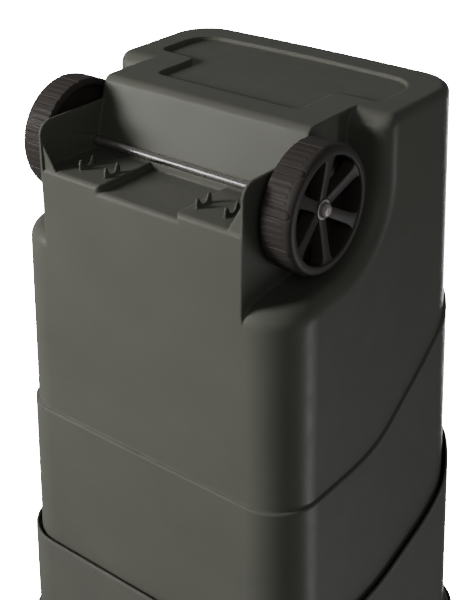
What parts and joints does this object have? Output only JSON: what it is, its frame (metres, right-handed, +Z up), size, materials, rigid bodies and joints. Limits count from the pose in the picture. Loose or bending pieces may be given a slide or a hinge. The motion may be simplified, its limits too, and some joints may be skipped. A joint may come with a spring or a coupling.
{
  "type": "wheeled garden waste bin",
  "caption": "Tall two-wheeled garden waste bin: tapered body on a recessed axle, upper section over its rim, rear handle and hinged lid that swings open.",
  "frame": {"origin": "on the ground, at the centre of the closed bin's footprint box", "axes": "+Z up, -Y the front with the lid's grip, +Y the back with the wheels, handle and hinge; X = 0 is the plane of symmetry"},
  "size_m": [0.6322, 0.6612, 1.051],
  "materials": {
    "bin_plastic": "satin moulded polypropylene, dark graphite with an olive cast",
    "handle_plastic": "satin moulded plastic, slightly darker than the body",
    "pin_plastic": "satin moulded plastic",
    "wheel_plastic": "satin blow-moulded plastic, warm brown-black",
    "axle_steel": "bright drawn steel",
    "cap_zinc": "dull zinc-plated steel"
  },
  "bodies": {
    "bin": {"lower_body": "bin_plastic", "upper_section": "bin_plastic", "rear_handle": "handle_plastic", "lid_hinge_pin_left": "pin_plastic", "lid_hinge_pin_right": "pin_plastic"},
    "lid": {"lid": "bin_plastic"},
    "axle": {"axle": "axle_steel", "axle_washer_left": "cap_zinc", "axle_washer_right": "cap_zinc", "axle_cap_left": "cap_zinc", "axle_cap_right": "cap_zinc"},
    "wheel_left": {"wheel_left": "wheel_plastic"},
    "wheel_right": {"wheel_right": "wheel_plastic"}
  },
  "joints": [
    {"name": "lid_swing", "type": "hinge", "parent": "bin", "child": "lid", "pos_m": [0, 0.31164, 1.004], "axis": [-1, 0, 0], "range_deg": [0, 262]},
    {"name": "axle_spin", "type": "hinge", "parent": "bin", "child": "axle", "pos_m": [0, 0.0947, 0.089], "axis": [1, 0, 0], "continuous": true},
    {"name": "wheel_left_spin", "type": "hinge", "parent": "axle", "child": "wheel_left", "pos_m": [-0.21, 0.0947, 0.089], "axis": [1, 0, 0], "continuous": true},
    {"name": "wheel_right_spin", "type": "hinge", "parent": "axle", "child": "wheel_right", "pos_m": [0.21, 0.0947, 0.089], "axis": [1, 0, 0], "continuous": true}
  ]
}
